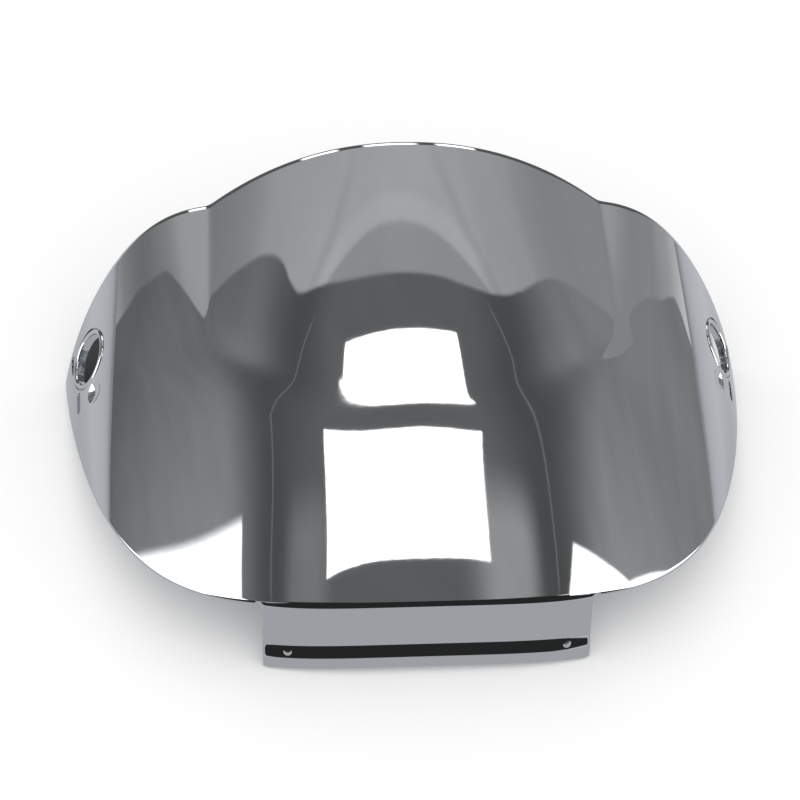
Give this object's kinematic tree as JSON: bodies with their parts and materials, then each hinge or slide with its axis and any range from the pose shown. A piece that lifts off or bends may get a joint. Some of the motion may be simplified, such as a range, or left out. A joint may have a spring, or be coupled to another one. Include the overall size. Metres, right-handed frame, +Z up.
{
  "type": "motorcycle windscreen",
  "caption": "Wrap-around double-bubble motorcycle windscreen, one mirror-chrome moulded shell with a mirror ear at each side and a stepped screw tongue under the nose.",
  "frame": {"origin": "centre of the box that holds the part, on the plane it stands on", "axes": "+X to the part's left-right span, -Y towards the nose and tongue, +Z up; it stands on its tongue and its two ears"},
  "size_m": [0.4022, 0.2782, 0.1319],
  "materials": {
    "mirror_chrome": "mirror chrome plating on moulded plastic"
  },
  "bodies": {
    "root": {"windscreen": "mirror_chrome"}
  },
  "joints": []
}
